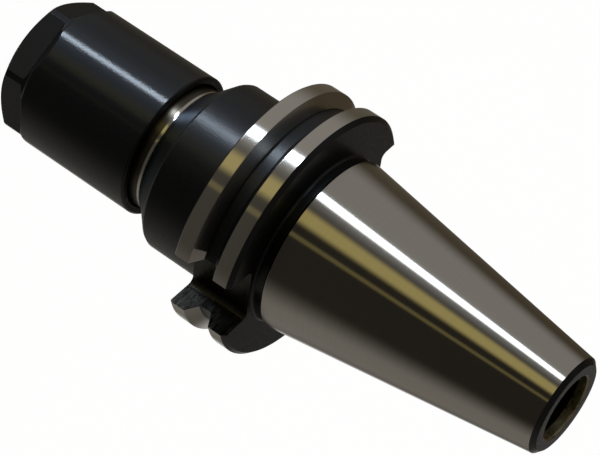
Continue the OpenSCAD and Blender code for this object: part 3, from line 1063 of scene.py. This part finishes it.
class CHUCK_OT_studio(bpy.types.Operator):
    """Set the pale floor, the white backdrop, the soft light and the camera"""

    bl_idname = "chuck.studio"
    bl_label = "Studio"

    def execute(self, context):
        self.set_world(context)
        self.set_floor()
        self.set_camera(context)
        return {"FINISHED"}

    def set_world(self, context):
        """Surrounds the scene with the cards."""
        light = context.scene.chuck_light
        world = bpy.data.worlds.new("studio")
        context.scene.world = world
        world.use_nodes = True
        tree = world.node_tree
        tree.nodes.clear()
        place = add_node(tree, "ShaderNodeTexCoord")
        split = add_node(tree, "ShaderNodeSeparateXYZ", links={0: place.outputs["Generated"]})
        flat = {0: split.outputs["Y"], 1: split.outputs["X"]}
        turn = add_node(tree, "ShaderNodeMath", {"operation": "ARCTAN2"}, links=flat)
        rise = add_node(tree, "ShaderNodeMath", {"operation": "ARCSINE"}, links={0: split.outputs["Z"]})
        azimuth, elevation = [
            add_node(tree, "ShaderNodeMath", TIMES, {1: DEGREES}, {0: angle.outputs[0]}).outputs[0]
            for angle in (turn, rise)
        ]
        glow = add_node(tree, "ShaderNodeCombineXYZ", values=dict(zip("XYZ", ROOM))).outputs[0]
        for cards, strength in ((CARDS, light.room), (STRIPS, light.strip)):
            for card in cards:
                glow = card_light(tree, azimuth, elevation, card, strength, glow)
        studio = add_node(tree, "ShaderNodeBackground", links={"Color": glow})
        white = add_node(tree, "ShaderNodeBackground", values={"Color": (1, 1, 1, 1), "Strength": 1.0})
        # Only the camera sees plain white. The steel mirrors the cards, and the backdrop is one of them.
        camera_ray = add_node(tree, "ShaderNodeLightPath").outputs["Is Camera Ray"]
        sides = {0: camera_ray, 1: studio.outputs[0], 2: white.outputs[0]}
        mixed = add_node(tree, "ShaderNodeMixShader", links=sides)
        add_node(tree, "ShaderNodeOutputWorld", links={"Surface": mixed.outputs[0]})

    def set_floor(self):
        """Lays the pale floor just under the nut's front face."""
        bpy.ops.object.select_all(action="DESELECT")
        bpy.ops.mesh.primitive_plane_add(size=FLOOR_SIZE, location=(0, 0, -FLOOR_DROP))
        floor = bpy.context.object
        floor.name = "floor"
        # Matt white paint that mostly gives its own light, so it stays white and takes a faint shadow. It
        # is clear from below and casts no shadow, so that the part's front face is seen and lit.
        material, tree = new_material("pale_floor")
        paint = add_node(tree, "ShaderNodeBsdfDiffuse", values={"Color": (0.9, 0.9, 0.9, 1)})
        glow = {"Color": (1, 1, 1, 1), "Strength": 1.15}
        white = add_node(tree, "ShaderNodeEmission", values=glow)
        above = {1: paint.outputs[0], 2: white.outputs[0]}
        kept = add_node(tree, "ShaderNodeMixShader", values={0: FLOOR_OWN_LIGHT}, links=above)
        clear = add_node(tree, "ShaderNodeBsdfTransparent")
        below = add_node(tree, "ShaderNodeNewGeometry").outputs["Backfacing"]
        sides = {0: below, 1: kept.outputs[0], 2: clear.outputs[0]}
        top = add_node(tree, "ShaderNodeMixShader", links=sides)
        add_node(tree, "ShaderNodeOutputMaterial", links={"Surface": top.outputs[0]})
        floor.data.materials.append(material)
        floor.visible_glossy = False
        floor.visible_shadow = False

    def set_camera(self, context):
        """Sets the camera where the photo was taken from."""
        camera = bpy.data.objects.new("camera", bpy.data.cameras.new("camera"))
        context.scene.collection.objects.link(camera)
        # Its axes and place are fitted to the rims of the taper, the flange and the nut.
        right = (-0.62173, -0.09223, 0.77778)
        up = (-0.55165, -0.65337, -0.51845)
        forward = (-0.55600, 0.75140, -0.35534)
        place = (349.5 * MM, -473.3 * MM, 301.1 * MM)
        rows = [[right[i], up[i], -forward[i], place[i]] for i in range(3)]
        camera.matrix_world = Matrix(rows + [[0, 0, 0, 1]])
        camera.data.sensor_fit = "HORIZONTAL"
        camera.data.sensor_width = 36
        camera.data.lens = 165.45
        context.scene.camera = camera
        context.scene.view_settings.view_transform = "Standard"


class CHUCK_PT_panel(bpy.types.Panel):
    """Buttons and sizes in the sidebar"""

    bl_idname = "CHUCK_PT_panel"
    bl_label = "Collet chuck holder"
    bl_space_type = "VIEW_3D"
    bl_region_type = "UI"
    bl_category = "Chuck"

    def draw(self, context):
        for operator in OPERATORS:
            self.layout.operator(operator.bl_idname)
        for name in GROUPS:
            box = self.layout.box()
            group = getattr(context.scene, name)
            for key in type(group).__annotations__:
                box.prop(group, key)


OPERATORS = (CHUCK_OT_holder, CHUCK_OT_nut, CHUCK_OT_collet, CHUCK_OT_rings, CHUCK_OT_stop, CHUCK_OT_studio)
GROUPS = {
    "chuck_shank": ShankSizes,
    "chuck_flange": FlangeSizes,
    "chuck_nose": NoseSizes,
    "chuck_nut": NutSizes,
    "chuck_inner": InnerSizes,
    "chuck_finishes": Finishes,
    "chuck_light": StudioLight,
}


def register():
    """Registers the classes and puts their sizes on the scene."""
    for each in (*GROUPS.values(), *OPERATORS, CHUCK_PT_panel):
        bpy.utils.register_class(each)
    for name, group in GROUPS.items():
        setattr(bpy.types.Scene, name, bpy.props.PointerProperty(type=group))


def unregister():
    """Takes the sizes and classes off again."""
    for name in GROUPS:
        delattr(bpy.types.Scene, name)
    for each in reversed((*GROUPS.values(), *OPERATORS, CHUCK_PT_panel)):
        bpy.utils.unregister_class(each)


def main():
    """Builds every piece and the studio."""
    register()
    bpy.ops.chuck.holder()
    bpy.ops.chuck.nut()
    bpy.ops.chuck.collet()
    bpy.ops.chuck.rings()
    bpy.ops.chuck.stop()
    bpy.ops.chuck.studio()


if __name__ == "__main__":
    main()
